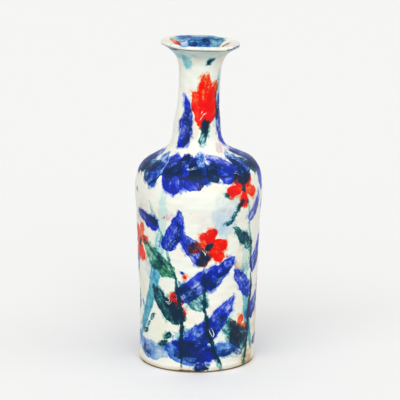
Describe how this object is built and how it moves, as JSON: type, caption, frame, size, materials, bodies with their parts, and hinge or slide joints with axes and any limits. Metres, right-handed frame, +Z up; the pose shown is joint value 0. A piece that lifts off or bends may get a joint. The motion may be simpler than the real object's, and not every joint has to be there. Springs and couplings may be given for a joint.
{
  "type": "painted earthenware bottle",
  "caption": "Tall hand-thrown ceramic bottle: tapered cylinder body, round shoulder, slim neck and trumpet mouth with a rolled lip, white glaze with brushed blue, green and red painting.",
  "frame": {"origin": "middle of the foot's underside, on the surface that the bottle stands on", "axes": "+Z up along the bottle's axis, -Y towards the painted front, +X to the viewer's right"},
  "size_m": [0.1178, 0.1178, 0.3],
  "materials": {
    "painted_glaze": "satin off-white glaze with brushed cobalt, green, turquoise and red painting",
    "inner_glaze": "thin cream glaze poured inside",
    "bare_clay": "matt unglazed earthenware, rubbed smooth where it stands"
  },
  "bodies": {
    "root": {"foot_ring": "bare_clay", "floor_disc": "painted_glaze", "floor_coil": "inner_glaze", "body_wall": "painted_glaze", "shoulder_dome": "painted_glaze", "neck_coil": "painted_glaze", "neck_tube": "painted_glaze", "mouth_flare": "painted_glaze", "lip_roll": "painted_glaze"}
  },
  "joints": []
}
